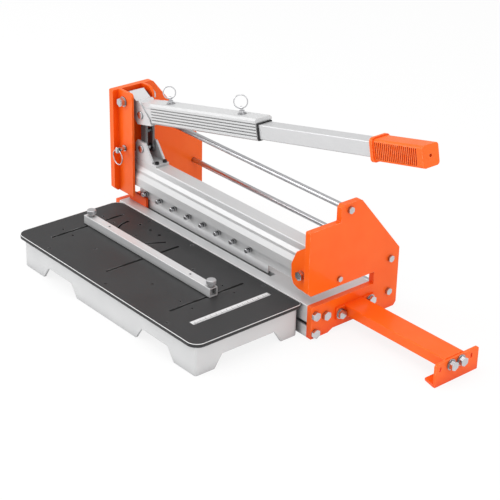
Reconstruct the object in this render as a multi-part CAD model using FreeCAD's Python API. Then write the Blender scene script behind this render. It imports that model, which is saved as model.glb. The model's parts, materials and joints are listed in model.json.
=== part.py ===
import FreeCAD, Part
import math
import os

# Guillotine cutter for floor tiles and planks, in millimetres.
# +X runs along the blade towards the hinge end, +Y points away from the feed table, +Z is up.
# The origin lies on the floor, under the front edge plane of the blade slot.

Vec = FreeCAD.Vector
AXES = {"x": Vec(1, 0, 0), "y": Vec(0, 1, 0), "z": Vec(0, 0, 1)}

# Clearances
running_gap = 0.05
loose_gap = 0.3
seat_gap = 0.02

# Frame
base_height = 53.0
left_inner = -217.0
frame_span = 471.5
right_inner = left_inner + frame_span
plate_thick = 10.0
plate_front = -27.0
plate_back = 160.0
plate_foot_rise = 5.0
right_shoulder_height = base_height + 124.0
right_step_y = 33.0
right_top_height = base_height + 150.5
right_top_back = 73.0
right_rear_height = base_height + 46.5
left_top_height = base_height + 198.5
left_top_back = 54.0
left_rear_height = base_height + 67.5
throat_height = 20.0
throat_chamfer = 6.0

# Base extrusion
base_front = -18.0
base_depth = 128.0
base_back = base_front + base_depth
base_wall = 4.0
groove_floor = 19.0
groove_mouth = 6.5
groove_lip = 3.0
groove_wide = 13.0
groove_depth = 8.0
slot_front = 0.5
slot_width = 11.0
slot_depth = 14.0
slot_left = -214.0
slot_right = right_inner - 104.5
strip_thick = 6.0

# Centre plane of the beam, the link and the handle
mid_y = 8.5

# Tie rods and frame screws: (y, z) in the end plates
tie_rods = {
    "upper_tie_rod": (50.0, base_height + 140.0),
    "middle_tie_rod": (141.0, base_height + 33.0),
    "lower_tie_rod": (140.5, base_height - 23.0),
}
tie_rod_radius = 4.5
rod_screw_radius = 3.0
base_screws = [(-11.0, 38.0), (10.5, 32.0), (-10.5, 8.5)]
arm_screws = [(38.0, 27.0), (100.0, 30.0)]
screw_radius = 3.4
screw_hole = screw_radius + 0.2
screw_bite = 22.0
head_across = 13.0
head_height = 5.3
washer_radius = 8.5
washer_thick = 1.6
small_across = 10.0
small_height = 4.2

# Column plates that guide the free end of the beam
column_front = -17.0
column_thick = 4.5
column_right = -179.0
column_rear_right = -185.0
column_bottom = base_height + throat_height - 0.5
column_top = base_height + 200.0
column_rear_round = 15.0

# Handle pivot and lock pin in the column
pivot_x = -200.5
pivot_z = base_height + 182.0
pivot_radius = 5.0
pivot_bush_radius = 8.0
lock_x = -199.0
lock_z = base_height + 101.0
lock_radius = 3.6
lock_standoff = 13.0
lock_lug_half = 2.2
lock_ring_radius = 12.5

# Beam, at rest
beam_left = -211.0
beam_right = right_inner - 4.5
beam_top = base_height + 84.8
beam_top_half = 13.3
beam_bead_half = 16.5
beam_half = 20.0
beam_bead_low = base_height + 63.0
beam_bead_high = base_height + 67.5
beam_crown = base_height + 74.0
beam_shoulder = base_height + 54.0
beam_floor = base_height + 39.7
beam_wall = 3.2
lip_front = 5.5
lip_back = 14.5
lip_bottom = base_height + 13.0
hinge_x = right_inner - 12.9
hinge_z = base_height + 46.2
hinge_radius = 4.0
hinge_bush_radius = 5.4
ear_front = -20.0
ear_thick = 4.5

# Blade
blade_front = 8.0
blade_thick = 2.5
blade_left = -193.0
blade_right = right_inner - 118.5
blade_edge = base_height - 3.0
blade_top = base_height + 33.0
blade_bevel = 4.0
blade_screw_first = -169.0
blade_screw_pitch = 38.0
blade_screw_count = 8
blade_screw_z = base_height + 23.5
blade_screw_radius = 2.5
blade_nut_across = 7.5
blade_nut_long = 4.5
blade_head_radius = 4.2
blade_head_long = 4.6
blade_screw_out = 11.0

# Blade guide tab in the slot
guide_thick = 4.5
guide_left = -213.0
guide_right = -167.0
guide_top = base_height + 15.5

# Lift bracket on the beam, link and its pins
bracket_half = 13.5
bracket_thick = 3.8
bracket_left = -186.0
bracket_right = -131.5
bracket_slope = 10.0
bracket_top = base_height + 118.0
link_foot_x = -170.5
link_foot_z = base_height + 105.5
link_pin_radius = 4.0
link_play = 2.1
link_half_gap = 5.0
link_thick = 4.0
link_shank = 13.0
link_lower_eye = 9.0
link_upper_eye = 8.5
bracket_screw_x = -135.4
bracket_screw_spread = 8.0

# Handle: local u runs along the tube from the pivot, local w is square to it and points up
handle_tilt = 12.0
handle_drop = 22.0
head_half = 14.5
head_sheet = 4.0
link_u = 26.3
link_w = -23.0
head_bottom = -38.9
stub_start = 32.0
stub_end = 114.0
sleeve_start = 57.3
sleeve_end = 321.8
sleeve_width = 33.0
sleeve_top_wall = 8.75
sleeve_bottom_wall = 1.75
sleeve_chamfer = 3.0
sleeve_rib_count = 6
sleeve_groove = 1.9
sleeve_groove_deep = 1.6
collar_thick = 2.4
collar_rim = 1.9
tube_width = 25.0
tube_height = 22.5
tube_wall = 2.0
tube_fit = 0.3
tube_travel = 90.0
tube_start = stub_end + 4.0
tube_end = 642.3
grip_start = 562.3
grip_end = 658.3
grip_size = 31.0
grip_flange = 4.0
grip_flange_long = 5.0
grip_rib_count = 22
grip_groove = 0.5
grip_groove_deep = 2.0
grip_hole_radius = 2.5
ring_pins = {"inner": 94.3, "outer": 273.3}
ring_radii = {"inner": 9.8, "outer": 10.3}
ring_turn = 49.0
ring_hole_rise = 8.5
ring_waist = 4.5
ring_lug_half = 3.5
ring_lug_thick = 3.6
ring_pin_radius = 3.0
ring_pin_nose = 4.5
ring_pin_collar = 6.5
ring_wire = 0.9

# Feed table
table_left = -212.0
table_right = right_inner - 13.5
table_front = -217.0
table_back = -21.5
board_left = -217.0
board_right = right_inner - 8.5
board_front = -222.0
board_back = -18.6
board_thick = 6.0
board_round = 18.0
board_hinge_round = 9.0
board_edge = 2.0
table_round = 20.0
table_hinge_round = 10.0
table_near_round = 4.0
table_wall = 4.0
arch_height = 20.5
side_arch = (-168.0, -69.0, -183.0, -55.0)
front_arches = [(-133.0, -69.0, -148.0, -54.0), (113.0, 176.0, 98.0, 191.5)]
rib_places = [-90.0, 60.0]
fence_slots = {"left": -167.0, "middle": -17.0, "right": 142.0}
fence_slot_width = 4.6
angle_slot_width = 4.4
angle_slot_centre = (-103.5, -56.4)
angle_slot_radius = 37.0
angle_slot_sweep = (176.6, 209.5, 242.5)
fence_slot_front = -187.0
fence_slot_back = -46.0
ruler_x = 191.0
ruler_width = 9.5
ruler_front = -184.5
ruler_back = -38.0
ruler_thick = 1.2
board_screw_radius = 2.6
stop_hole_places = [(-119.0, -47.0), (-92.0, -46.5), (-68.0, -46.5)]

# Fence
fence_left = -178.0
fence_right = 147.6
fence_front = -116.5
fence_size = 15.0
fence_wall = 1.6
fence_y = fence_front + fence_size / 2
stud_radius = 2.0
knob_radius = 7.5
knob_height = 6.5
knob_lift = 5.0
knob_flutes = 18
nut_thick = 4.0

# Outrigger arm and foot
arm_front = 47.0
arm_width = 40.0
arm_bottom = 22.0
arm_height = 16.0
arm_sheet = 3.0
arm_length = 205.0
arm_tab = 17.0
foot_front = 27.0
foot_width = 88.0
foot_height = 37.0
foot_sheet = 4.0
foot_toe = 24.0
foot_screws_y = [57.5, 77.5]
foot_screws_z = 28.0
foot_nut_across = 11.0
foot_hole_z = 27.0


def save(name, shape):
    shape.exportStep("parts/" + name + ".step")
    print(name, len(shape.Solids), round(shape.Volume))


def box(x0, x1, y0, y1, z0, z1):
    return Part.makeBox(x1 - x0, y1 - y0, z1 - z0, Vec(x0, y0, z0))


def rod(axis, radius, start, length):
    return Part.makeCylinder(radius, length, Vec(*start), AXES[axis])


def prism(axis, points, low, high):
    """Closed outline given in the two other axes, in X, Y, Z order, and pushed along the axis."""
    corners = []
    for a, b in points:
        place = {"x": (low, a, b), "y": (a, low, b), "z": (a, b, low)}[axis]
        corners.append(Vec(*place))
    face = Part.Face(Part.makePolygon(corners + corners[:1]))
    return face.extrude(AXES[axis] * (high - low))


def edges_along(shape, axis, keep):
    """Straight edges along one axis whose middle point passes a test."""
    found = []
    for edge in shape.Edges:
        if len(edge.Vertexes) == 2 and isinstance(edge.Curve, Part.Line):
            run = (edge.Vertexes[1].Point - edge.Vertexes[0].Point).normalize()
            if abs(run.dot(AXES[axis])) > 0.999 and keep(edge.CenterOfMass):
                found.append(edge)
    return found


def always(point):
    return True


def hexagon(axis, across, start, length):
    radius = across / math.sqrt(3)
    points = []
    for k in range(6):
        turn = math.radians(60 * k + 30)
        points.append((radius * math.cos(turn), radius * math.sin(turn)))
    middle = {"x": (start[1], start[2]), "y": (start[0], start[2]), "z": (start[0], start[1])}[axis]
    outline = [(middle[0] + a, middle[1] + b) for a, b in points]
    low = {"x": start[0], "y": start[1], "z": start[2]}[axis]
    solid = prism(axis, outline, min(low, low + length), max(low, low + length))
    return solid.common(rod(axis, across * 0.555, solid_start(axis, solid, middle), abs(length)))


def solid_start(axis, solid, middle):
    bounds = solid.BoundBox
    low = {"x": bounds.XMin, "y": bounds.YMin, "z": bounds.ZMin}[axis]
    return {"x": (low, *middle), "y": (middle[0], low, middle[1]), "z": (*middle, low)}[axis]


def torus(axis, ring_radius, wire, centre):
    return Part.makeTorus(ring_radius, wire, Vec(*centre), AXES[axis])


def on_handle(shape):
    """Moves a piece drawn with u along X and w along Z from the pivot to its place on the handle."""
    placed = shape.copy()
    placed.rotate(Vec(0, 0, 0), AXES["y"], -handle_tilt)
    placed.translate(Vec(pivot_x, 0, pivot_z))
    return placed


def plate_outline(shoulder, step_y, top, top_back, rear_top):
    throat_top = base_height + throat_height
    throat_back = base_back - 2.0
    low = [(base_front, 0), (16, 0), (26, plate_foot_rise), (124, plate_foot_rise), (134, 0)]
    rear = [(plate_back - 5, 0), (plate_back, 6), (plate_back, rear_top), (top_back, top)]
    if step_y > plate_front:
        head = [(step_y + 4, top), (step_y, top - 4), (step_y, shoulder), (plate_front, shoulder)]
    else:
        head = [(plate_front, top)]
    throat = [
        (plate_front, throat_top + throat_chamfer),
        (plate_front + throat_chamfer, throat_top),
        (throat_back, throat_top),
        (throat_back, base_height),
        (base_front, base_height),
    ]
    return low + rear + head + throat


def end_plate(outline, low, high, round_y, round_z):
    plate = prism("x", outline, low, high)

    def rounded(point):
        return abs(point.y - round_y) < 0.1 and abs(point.z - round_z) < 0.1

    plate = plate.makeFillet(9.0, edges_along(plate, "x", rounded))

    def soft(point):
        return point.z > right_shoulder_height - 80 and point.y < plate_back + 1

    soft_edges = edges_along(plate, "x", soft)
    soft_edges = [edge for edge in soft_edges if edge.Length > plate_thick - 0.1]
    plate = plate.makeFillet(2.0, [e for e in soft_edges if not near_round(e, round_y, round_z)])
    for y, z in list(tie_rods.values()):
        plate = plate.cut(rod("x", rod_screw_radius + 0.2, (low - 1, y, z), plate_thick + 2))
    for y, z in base_screws + arm_screws:
        plate = plate.cut(rod("x", screw_hole, (low - 1, y, z), plate_thick + 2))
    return plate


def near_round(edge, y, z):
    centre = edge.CenterOfMass
    return math.hypot(centre.y - y, centre.z - z) < 12.0


def base_extrusion():
    top = base_height
    wall = base_wall
    front_rib = base_front + groove_depth + 5.0
    pocket_floor = top - slot_depth
    centre_rib = arm_screws[0][0]
    back_rib = arm_screws[1][0]
    body = box(left_inner, right_inner, base_front, base_back, 0, top)
    body = body.makeFillet(1.2, edges_along(body, "x", always))
    chambers = [
        (front_rib, centre_rib - 8, wall, base_screws[1][1] - 8),
        (slot_front + slot_width + 5, centre_rib - 8, base_screws[1][1] + 5, top - wall),
        (centre_rib + 8, back_rib - 8, wall, top - wall),
        (back_rib - 4, base_back - wall, arm_screws[1][1] + 8, top - wall),
    ]
    for y0, y1, z0, z1 in chambers:
        body = body.cut(box(left_inner - 1, right_inner + 1, y0, y1, z0, z1))
    mouth = box(left_inner - 1, right_inner + 1, base_front - 1, base_front + groove_depth,
                groove_floor, groove_floor + groove_mouth)
    middle = groove_floor + groove_mouth / 2
    inner = box(left_inner - 1, right_inner + 1, base_front + groove_lip, base_front + groove_depth,
                middle - groove_wide / 2, middle + groove_wide / 2)
    body = body.cut(mouth).cut(inner)
    body = body.cut(box(slot_left, slot_right, slot_front, slot_front + slot_width, pocket_floor, top + 1))
    for y, z in base_screws + arm_screws:
        for x in (left_inner, right_inner - screw_bite):
            body = body.cut(rod("x", screw_radius, (x, y, z), screw_bite))
    for x in guide_screw_places():
        body = body.cut(rod("y", 2.0, (x, base_front + groove_depth + 1, guide_screw_z()), 14))
    return body


def guide_screw_places():
    return [guide_left + 12, guide_right - 12]


def guide_screw_z():
    return base_height - slot_depth + 6


def cutting_strip():
    floor = base_height - slot_depth
    return box(slot_left, slot_right, slot_front, slot_front + slot_width, floor, floor + strip_thick)


def blade_guide():
    low = base_height - slot_depth + strip_thick
    tab = box(guide_left, guide_right, slot_front, slot_front + guide_thick, low, guide_top)
    tab = tab.makeFillet(2.0, edges_along(tab, "y", lambda p: p.z > guide_top - 1))
    return tab


def tie_rod(y, z):
    bar = rod("x", tie_rod_radius, (left_inner, y, z), frame_span)
    for x in (left_inner, right_inner - screw_bite):
        bar = bar.cut(rod("x", rod_screw_radius, (x, y, z), screw_bite))
    return bar


def plate_screw(side, y, z, shank, across, height, washer):
    """Hex screw through an end plate; side is +1 at the hinge end and -1 at the handle end."""
    face = right_inner + plate_thick if side > 0 else left_inner - plate_thick
    parts = []
    out = face
    if washer:
        start = out if side > 0 else out - washer_thick
        parts.append(rod("x", washer_radius, (start, y, z), washer_thick))
        out = out + side * washer_thick
    parts.append(hexagon("x", across, (out, y, z), side * height))
    inside = face - side * (plate_thick + screw_bite - 2)
    parts.append(rod("x", shank, (min(inside, out), y, z), abs(out - inside)))
    screw = parts[0]
    for piece in parts[1:]:
        screw = screw.fuse(piece)
    return screw.removeSplitter()


def column_plate(front, right, corner):
    plate = box(left_inner, right, front, front + column_thick, column_bottom, column_top)

    def top_corner(point):
        return point.x > right - 1 and point.z > column_top - 1

    plate = plate.makeFillet(corner, edges_along(plate, "y", top_corner))
    bore = rod("y", pivot_radius + running_gap, (pivot_x, front - 1, pivot_z), column_thick + 2)
    return plate.cut(bore)


def column_rear():
    return mid_y + (mid_y - column_front) - column_thick


def handle_bolt():
    rear = column_rear()
    front = column_front
    shank = rod("y", pivot_radius, (pivot_x, front - 9.5, pivot_z), rear + column_thick - front + 18.0)
    head = hexagon("y", head_across, (pivot_x, front - washer_thick, pivot_z), -7.5)
    ring = rod("y", washer_radius, (pivot_x, front - washer_thick, pivot_z), washer_thick)
    nut = hexagon("y", head_across + 1, (pivot_x, rear + column_thick + washer_thick, pivot_z), 7.0)
    ring_back = rod("y", washer_radius, (pivot_x, rear + column_thick, pivot_z), washer_thick)
    return shank.fuse([head, ring, nut, ring_back]).removeSplitter()


def ear(front, mirrored):
    low = base_height + throat_height + 1.0
    x = right_inner
    points = [
        (x, low), (hinge_x - 6, low), (hinge_x - 17, low + 4), (hinge_x - 22, low + 16),
        (hinge_x - 23, hinge_z + 10), (hinge_x - 12, hinge_z + 33.8), (x, hinge_z + 50.8),
    ]
    plate = prism("y", points, front, front + ear_thick)
    plate = plate.makeFillet(5.0, edges_along(plate, "y", lambda p: p.x < hinge_x - 11))
    plate = plate.cut(rod("y", hinge_radius + running_gap, (hinge_x, front - 1, hinge_z), ear_thick + 2))
    if mirrored:
        y = front + ear_thick / 2
        plate = plate.cut(rod("x", ear_screw_radius(), (x - 14, y, ear_screw_z()), 15))
    return plate


def ear_screw_radius():
    return 1.5


def ear_screw_z():
    return hinge_z - 14.2


def ear_rear():
    return 2 * mid_y - ear_front - ear_thick


def hinge_bolt():
    rear = ear_rear() + ear_thick
    length = rear - ear_front
    shank = rod("y", hinge_radius, (hinge_x, ear_front - 7.6, hinge_z), length + 14.4)
    head = hexagon("y", head_across, (hinge_x, ear_front - washer_thick, hinge_z), -head_height)
    ring = rod("y", washer_radius - 1.5, (hinge_x, ear_front - washer_thick, hinge_z), washer_thick)
    nut = hexagon("y", head_across, (hinge_x, rear + washer_thick, hinge_z), head_height)
    ring_back = rod("y", washer_radius - 1.5, (hinge_x, rear, hinge_z), washer_thick)
    return shank.fuse([head, ring, nut, ring_back]).removeSplitter()


def hinge_bush():
    start = ear_front + ear_thick + loose_gap
    end = ear_rear() - loose_gap
    tube = rod("y", hinge_bush_radius, (hinge_x, start, hinge_z), end - start)
    for y, length in ((start, mid_y - beam_half - start), (mid_y + beam_half, end - mid_y - beam_half)):
        tube = tube.fuse(rod("y", hinge_bush_radius + 2.6, (hinge_x, y, hinge_z), length))
    bore = rod("y", hinge_radius + running_gap, (hinge_x, start - 1, hinge_z), end - start + 2)
    return tube.cut(bore)


def beam_section(inset):
    """Half widths and heights of the beam's body, moved in by a wall thickness."""
    half = [
        (beam_top_half - inset, beam_top - inset),
        (beam_top_half - inset, beam_crown - inset * 0.4),
        (beam_bead_half - inset, beam_bead_high - inset * 0.4),
        (beam_bead_half - inset, beam_bead_low - inset * 0.4),
        (beam_half - inset, beam_shoulder - inset * 0.4),
        (beam_half - inset, beam_floor + inset),
    ]
    right = [(mid_y + h, z) for h, z in half]
    left = [(mid_y - h, z) for h, z in reversed(half)]
    return right + left


def beam_extrusion():
    body = prism("x", beam_section(0), beam_left, beam_right)
    body = body.makeFillet(1.4, edges_along(body, "x", lambda p: p.z > beam_bead_low - 1))
    hollow = prism("x", beam_section(beam_wall), beam_left - 1, beam_right + 1)
    neck = box(beam_left, beam_right, lip_front, lip_back, lip_bottom, beam_floor + beam_wall / 2)
    body = body.cut(hollow).fuse(neck)
    web = box(beam_left, beam_right, mid_y - 1.6, mid_y + 1.6, beam_floor + 1, beam_top - 1)
    body = body.fuse(web).removeSplitter()
    notch = box(beam_left - 1, blade_left + 10, lip_front - 1, lip_back + 1, lip_bottom - 1, lip_bottom + 22)
    pocket = box(beam_left - 1, beam_right + 1, blade_front, blade_front + blade_thick,
                 lip_bottom - 1, blade_top)
    body = body.cut(notch).cut(pocket)
    body = body.cut(rod("y", hinge_bush_radius, (hinge_x, mid_y - beam_half - 1, hinge_z), 2 * beam_half + 2))
    for x in blade_screw_places():
        body = body.cut(rod("y", blade_screw_radius, (x, lip_front - 1, blade_screw_z), 12))
    for y in bracket_screw_rows():
        body = body.cut(rod("z", 2.0, (bracket_screw_x, y, beam_top - 14), 20))
    return body


def bracket_screw_rows():
    return [mid_y - bracket_screw_spread, mid_y + bracket_screw_spread]


def blade_screw_places():
    return [blade_screw_first + k * blade_screw_pitch for k in range(blade_screw_count)]


def blade():
    front = blade_front
    back = blade_front + blade_thick
    outline = [
        (front, blade_top - seat_gap), (back, blade_top - seat_gap), (back, blade_edge + blade_bevel),
        (front + 0.3, blade_edge), (front, blade_edge),
    ]
    plate = prism("x", outline, blade_left, blade_right)
    for x in blade_screw_places():
        plate = plate.cut(rod("y", blade_screw_radius, (x, front - 1, blade_screw_z), blade_thick + 2))
    return plate


def blade_screw(x):
    face = lip_front
    head_start = face - blade_screw_out
    shank = rod("y", blade_screw_radius - 0.02, (x, head_start + 1, blade_screw_z), blade_screw_out + 8.4)
    head = rod("y", blade_head_radius, (x, head_start, blade_screw_z), blade_head_long)
    head = head.makeFillet(1.9, [e for e in head.Edges if e.CenterOfMass.y < head_start + 0.1 and e.Closed])
    return shank.fuse(head).removeSplitter()


def blade_nut(x):
    nut = hexagon("y", blade_nut_across, (x, lip_front - blade_nut_long, blade_screw_z), blade_nut_long)
    return nut.cut(rod("y", blade_screw_radius, (x, lip_front - blade_nut_long - 1, blade_screw_z),
                       blade_nut_long + 2))


def lift_bracket():
    low = beam_top
    floor = box(bracket_left, bracket_right, mid_y - bracket_half, mid_y + bracket_half, low,
                low + bracket_thick)
    side = [
        (bracket_left, low), (bracket_right - bracket_slope, low), (bracket_right - bracket_slope, low + 6),
        (link_foot_x + 9, bracket_top), (bracket_left + 4, bracket_top), (bracket_left, bracket_top - 6),
    ]
    body = floor
    for front in (mid_y - bracket_half, mid_y + bracket_half - bracket_thick):
        body = body.fuse(prism("y", side, front, front + bracket_thick))
    body = body.removeSplitter()
    bore = rod("y", link_pin_radius, (link_foot_x, mid_y - bracket_half - 1, link_foot_z), 2 * bracket_half + 2)
    body = body.cut(bore)
    for y in bracket_screw_rows():
        body = body.cut(rod("z", 2.0, (bracket_screw_x, y, low - 1), bracket_thick + 2))
    return body


def socket_screw(x, y, z, shank, head, head_long, length):
    body = rod("z", shank, (x, y, z - length), length)
    cap = rod("z", head, (x, y, z), head_long)
    socket = hexagon("z", head, (x, y, z + head_long - 2.2), 3.0)
    return body.fuse(cap).removeSplitter().cut(socket)


def cross_pin(x, z, half, radius, head_radius, head_long):
    start = mid_y - half
    body = rod("y", radius, (x, start - 1, z), 2 * half + 2)
    front = rod("y", head_radius, (x, start - head_long, z), head_long)
    back = rod("y", head_radius, (x, mid_y + half, z), head_long)
    pin = body.fuse([front, back]).removeSplitter()
    rims = [e for e in pin.Edges if e.Closed and abs(abs(e.CenterOfMass.y - mid_y) - half - head_long) < 0.1]
    return pin.makeFillet(head_long * 0.4, rims)


def link_bar(front, head_x, head_z):
    run = Vec(link_foot_x - head_x, 0, link_foot_z - head_z)
    length = run.Length
    bar = box(-link_shank / 2, link_shank / 2, 0, link_thick, -length, 0)
    bar = bar.fuse(rod("y", link_upper_eye, (0, 0, 0), link_thick))
    bar = bar.fuse(rod("y", link_lower_eye, (0, 0, -length), link_thick)).removeSplitter()
    bar = bar.cut(rod("y", link_pin_radius + running_gap, (0, -1, 0), link_thick + 2))
    bar = bar.cut(rod("y", link_pin_radius + link_play, (0, -1, -length), link_thick + 2))
    lean = math.degrees(math.atan2(-run.x, -run.z))
    bar.rotate(Vec(0, 0, 0), AXES["y"], lean)
    bar.translate(Vec(head_x, front, head_z))
    return bar


def link():
    head = link_head_place()
    front_bar = link_bar(mid_y - link_half_gap - link_thick, head[0], head[1])
    back_bar = link_bar(mid_y + link_half_gap, head[0], head[1])
    tie_x = (head[0] + link_foot_x) / 2
    tie_z = (head[1] + link_foot_z) / 2
    tie = rod("y", 3.5, (tie_x, mid_y - link_half_gap - 1, tie_z), 2 * link_half_gap + 2)
    return front_bar.fuse([back_bar, tie]).removeSplitter()


def link_head_place():
    turn = math.radians(handle_tilt)
    x = pivot_x + link_u * math.cos(turn) - link_w * math.sin(turn)
    z = pivot_z + link_u * math.sin(turn) + link_w * math.cos(turn)
    return x, z


def tube_box(start, end, grow):
    """Block with the handle tube's section, larger all round by grow."""
    wide = tube_width / 2 + grow
    high = tube_height / 2 + grow
    return box(start, end, mid_y - wide, mid_y + wide, -handle_drop - high, -handle_drop + high)


def handle_head():
    """Folded steel head: a channel open below, with a narrower stub that the sleeve slides over."""
    outer = [
        (-13, -9), (-13, 6), (-6, 13), (3.7, 14.6), (19.3, 0.5), (26.3, 0.5), (49.6, -28.4),
        (52.3, head_bottom), (14.3, head_bottom), (-4, -14),
    ]
    end = sleeve_start - seat_gap
    inner = [(22.3, -2.2), (end, sleeve_high()), (end, sleeve_low()), (48.3, sleeve_low())]
    shell = prism("y", outer, mid_y - head_half, mid_y + head_half)
    step = 2.5
    face = prism("y", inner, mid_y - head_half + step, mid_y + head_half - step)
    stub = tube_box(stub_start, stub_end, 0)
    shell = shell.fuse([face, stub])
    cavity = [
        (-40, -70), (-40, 40), (-16, 8), (-7, 8.5), (3.5, 9.6), (17.6, -3.5), (42.3, -3.5), (42.3, -70),
    ]
    hollow = prism("y", cavity, mid_y - head_half + head_sheet, mid_y + head_half - head_sheet)
    bore = tube_box(stub_start + 5, stub_end + 8, -3.0)
    shell = shell.cut(hollow).cut(bore).removeSplitter()
    across = mid_y - head_half - 1
    shell = shell.cut(rod("y", pivot_bush_radius, (0, across, 0), 2 * head_half + 2))
    shell = shell.cut(rod("y", link_pin_radius, (link_u, across, link_w), 2 * head_half + 2))
    shell = shell.cut(rod("z", ring_pin_radius + loose_gap, (ring_pins["inner"], mid_y, -handle_drop), 40))
    return on_handle(shell)


def handle_bush():
    start = column_front + column_thick + loose_gap
    end = column_rear() - loose_gap
    tube = rod("y", pivot_bush_radius, (0, start, 0), end - start)
    return on_handle(tube.cut(rod("y", pivot_radius + running_gap, (0, start - 1, 0), end - start + 2)))


def handle_link_pin():
    pin = cross_pin(0, 0, head_half, link_pin_radius, link_pin_radius + 2.6, 2.2)
    pin.translate(Vec(link_u, 0, link_w))
    return on_handle(pin)


def sleeve_low():
    return -handle_drop - tube_height / 2 - tube_fit - sleeve_bottom_wall


def sleeve_high():
    return -handle_drop + tube_height / 2 + tube_fit + sleeve_top_wall


def handle_sleeve():
    half = sleeve_width / 2
    low = sleeve_low()
    high = sleeve_high()
    body = box(sleeve_start, sleeve_end, mid_y - half, mid_y + half, low, high)
    body = body.makeChamfer(sleeve_chamfer, edges_along(body, "x", always))
    pitch = (high - low - 2 * sleeve_chamfer) / sleeve_rib_count
    for k in range(1, sleeve_rib_count):
        z = low + sleeve_chamfer + k * pitch
        for y in (mid_y - half, mid_y + half):
            body = body.cut(box(sleeve_start - 1, sleeve_end + 1, y - sleeve_groove_deep,
                                y + sleeve_groove_deep, z - sleeve_groove / 2, z + sleeve_groove / 2))
    body = body.cut(tube_box(sleeve_start - 1, sleeve_end + 1, tube_fit))
    for u in ring_pins.values():
        body = body.cut(rod("z", ring_pin_radius + loose_gap, (u, mid_y, -handle_drop), 40))
    return on_handle(body)


def sleeve_collar():
    body = tube_box(sleeve_end, sleeve_end + collar_thick, collar_rim)
    body = body.makeFillet(1.5, edges_along(body, "x", always))
    return on_handle(body.cut(tube_box(sleeve_end - 1, sleeve_end + collar_thick + 1, tube_fit)))


def handle_tube():
    body = tube_box(tube_start, tube_end, 0)
    body = body.makeFillet(1.6, edges_along(body, "x", always))
    body = body.cut(tube_box(tube_start - 1, tube_end + 1, -tube_wall))
    width = ring_pin_radius + 1.0
    first = ring_pins["outer"] - width - tube_travel
    last = ring_pins["outer"] + width
    top = -handle_drop + tube_height / 2
    body = body.cut(box(first, last, mid_y - width, mid_y + width, top - tube_wall - 1, top + 1))
    return on_handle(body)


def handle_grip():
    half = grip_size / 2
    low = -handle_drop
    body = box(grip_start, grip_end, mid_y - half, mid_y + half, low - half, low + half)
    body = body.makeFillet(5.0, edges_along(body, "x", always))
    wide = half + grip_flange
    flange = box(grip_start, grip_start + grip_flange_long, mid_y - wide + 2, mid_y + wide - 2,
                 low - wide + 2, low + wide - 2)
    flange = flange.makeFillet(6.0, edges_along(flange, "x", always))
    body = body.fuse(flange).removeSplitter()
    ribs_start = grip_start + grip_flange_long + 3.0
    pitch = (grip_end - 9.0 - ribs_start) / grip_rib_count
    for k in range(grip_rib_count):
        u = ribs_start + k * pitch
        for y in (mid_y - half, mid_y + half):
            body = body.cut(box(u, u + pitch * grip_groove, y - grip_groove_deep, y + grip_groove_deep,
                                low - half + 3.5, low + half - 3.5))
    body = body.cut(tube_box(grip_start - 1, tube_end + seat_gap, 0))
    body = body.cut(rod("x", grip_hole_radius, (tube_end - 2, mid_y, low), 40))
    return on_handle(body)


def ring_pin(u):
    """Quick-release pin through the top wall, with an upright lug for its pull ring."""
    top = sleeve_high()
    nose = -handle_drop + tube_height / 2 + tube_fit - ring_pin_nose
    shank = rod("z", ring_pin_radius, (u, mid_y, nose), top - nose + 2)
    collar = rod("z", ring_pin_collar, (u, mid_y, top + seat_gap), 2.0)
    waist = rod("z", ring_waist, (u, mid_y, top + 1), ring_hole_rise - 4.0)
    hole = top + ring_hole_rise
    side = u - ring_lug_thick / 2
    lug = box(side, side + ring_lug_thick, mid_y - ring_lug_half, mid_y + ring_lug_half, top + 3, hole)
    lug = lug.fuse(rod("x", ring_lug_half, (side, mid_y, hole), ring_lug_thick))
    pin = shank.fuse([collar, waist, lug]).removeSplitter()
    pin = pin.cut(rod("x", ring_wire + 0.6, (u - 5, mid_y, hole), 10))
    pin.rotate(Vec(u, mid_y, 0), AXES["z"], ring_turn)
    return on_handle(pin)


def pull_ring(u, radius):
    ring = torus("y", radius, ring_wire, (u, mid_y, sleeve_high() + ring_hole_rise + radius))
    ring.rotate(Vec(u, mid_y, 0), AXES["z"], ring_turn)
    return on_handle(ring)


def lock_pin():
    tip = column_front + column_thick + 0.5
    start = column_front - lock_standoff
    shank = rod("y", lock_radius, (lock_x, start, lock_z), tip - start)
    head = rod("y", lock_radius + 1.6, (lock_x, start - 5, lock_z), 6.5)
    collar = rod("y", lock_radius + 1.6, (lock_x, column_front - 2.2 - seat_gap, lock_z), 2.2)
    pin = shank.fuse([head, collar]).removeSplitter()
    rims = [e for e in pin.Edges if e.Closed and e.CenterOfMass.y < start - 4.9]
    pin = pin.makeFillet(1.2, rims)
    for side in (-1, 1):
        flat = box(0, 8, start - 6, start + 0.5, lock_z - 8, lock_z + 8)
        flat.translate(Vec(lock_x + lock_lug_half if side > 0 else lock_x - lock_lug_half - 8, 0, 0))
        pin = pin.cut(flat)
    return pin.cut(rod("x", ring_wire + 0.6, (lock_x - 8, lock_ring_y(), lock_z), 16))


def lock_ring_y():
    return column_front - lock_standoff - 2.2


def lock_ring():
    return torus("y", lock_ring_radius, ring_wire, (lock_x, lock_ring_y(), lock_z - lock_ring_radius))


def arch(low, high, base_low, base_high):
    """Trapezoid opening under a table wall, from the floor up."""
    return [(base_low, -1), (low, arch_height), (high, arch_height), (base_high, -1)]


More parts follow.
